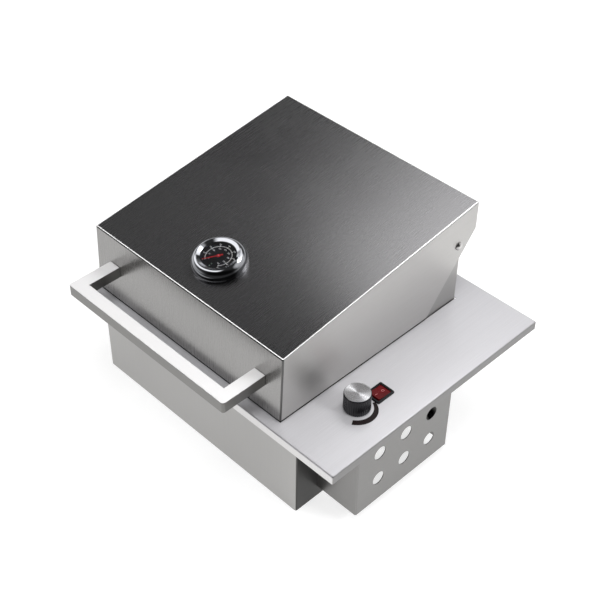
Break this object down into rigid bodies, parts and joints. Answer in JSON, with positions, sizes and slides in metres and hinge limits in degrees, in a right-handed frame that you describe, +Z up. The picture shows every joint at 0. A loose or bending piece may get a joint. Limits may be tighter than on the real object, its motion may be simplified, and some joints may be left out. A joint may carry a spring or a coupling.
{
  "type": "electric barbecue cooktop",
  "caption": "Drop-in stainless electric barbecue: hinged hood with handle and thermometer, deck with heat dial and switch, firebox with grate and element",
  "frame": {"origin": "middle of the whole outline in plan, at the casing's foot", "axes": "+X to the right, towards the controls; +Y to the hood's hinge; +Z up"},
  "size_m": [0.4934, 0.454, 0.3071],
  "materials": {
    "hood_steel": "brushed",
    "handle_steel": "satin",
    "deck_steel": "brushed",
    "casing_steel": "satin",
    "tub_steel": "satin",
    "fastener_steel": "satin",
    "bezel_chrome": "polished",
    "case_steel": "satin",
    "dial_black": "matte",
    "gauge_glass": "polished",
    "needle_red": "matte",
    "grate_chrome": "polished",
    "element_sheath": "dark oxide",
    "ceramic_white": "matte ceramic",
    "bumper_rubber": "matte",
    "nylon_black": "matte",
    "block_plastic": "matte",
    "terminal_brass": "plain",
    "regulator_plastic": "matte",
    "knob_plastic": "satin",
    "knob_aluminium": "spun",
    "switch_plastic": "gloss",
    "rocker_red": "translucent gloss"
  },
  "bodies": {
    "base": {"deck_plate": "deck_steel", "hood_upstand": "deck_steel", "casing_wrap": "casing_steel", "casing_pan": "casing_steel", "control_box": "casing_steel", "firebox_tub": "tub_steel", "drip_tray": "tub_steel", "grate_rests": "tub_steel", "element_hangers": "tub_steel", "hinge_pin_left": "fastener_steel", "hinge_pin_right": "fastener_steel", "hinge_washers": "fastener_steel", "hinge_nuts": "fastener_steel", "pan_screws": "fastener_steel", "deck_studs": "fastener_steel", "stud_nuts": "fastener_steel", "box_screws": "fastener_steel", "box_nuts": "fastener_steel", "element_collars": "fastener_steel", "element_nuts": "fastener_steel", "element_pins": "fastener_steel", "regulator_nut": "fastener_steel", "heating_element": "element_sheath", "element_beads": "ceramic_white", "hood_bumpers": "bumper_rubber", "lead_grommet": "bumper_rubber", "cord_gland": "nylon_black", "gland_nut": "nylon_black", "terminal_block": "block_plastic", "block_screws": "terminal_brass", "earth_stud": "terminal_brass", "earth_nuts": "terminal_brass", "regulator_blades": "terminal_brass", "switch_blades": "terminal_brass", "regulator_body": "regulator_plastic", "switch_housing": "switch_plastic"},
    "hood": {"hood_shell": "hood_steel", "hood_handle": "handle_steel", "handle_screws": "fastener_steel", "handle_washers": "fastener_steel", "thermometer_bezel": "bezel_chrome", "thermometer_case": "case_steel", "thermometer_dial": "dial_black", "thermometer_spacer": "dial_black", "thermometer_glass": "gauge_glass", "thermometer_nut": "fastener_steel", "thermometer_stem": "fastener_steel"},
    "needle": {"thermometer_needle": "needle_red"},
    "dial": {"knob_body": "knob_plastic", "knob_cap": "knob_aluminium", "regulator_shaft": "fastener_steel"},
    "rocker": {"switch_rocker": "rocker_red"},
    "grate": {"cooking_grate": "grate_chrome"}
  },
  "joints": [
    {"name": "hood_hinge", "type": "hinge", "parent": "base", "child": "hood", "pos_m": [0, 0.176, 0.2508], "axis": [-1, 0, 0], "range_deg": [0, 100]},
    {"name": "needle_sweep", "type": "hinge", "parent": "hood", "child": "needle", "pos_m": [-0.04575, -0.0909, 0.26649], "axis": [0, 0.1344, -0.9909], "range_deg": [0, 300], "stiffness_Nm_per_rad": 0.0001},
    {"name": "heat_dial", "type": "hinge", "parent": "base", "child": "dial", "pos_m": [0.18625, -0.069, 0.152], "axis": [0, 0, -1], "range_deg": [0, 270]},
    {"name": "power_rocker", "type": "hinge", "parent": "base", "child": "rocker", "pos_m": [0.19005, -0.0304, 0.1515], "axis": [1, 0, 0], "range_deg": [0, 16]},
    {"name": "grate_lift", "type": "slide", "parent": "base", "child": "grate", "axis": [0, 0, 1], "range_m": [0, 0.06]}
  ]
}
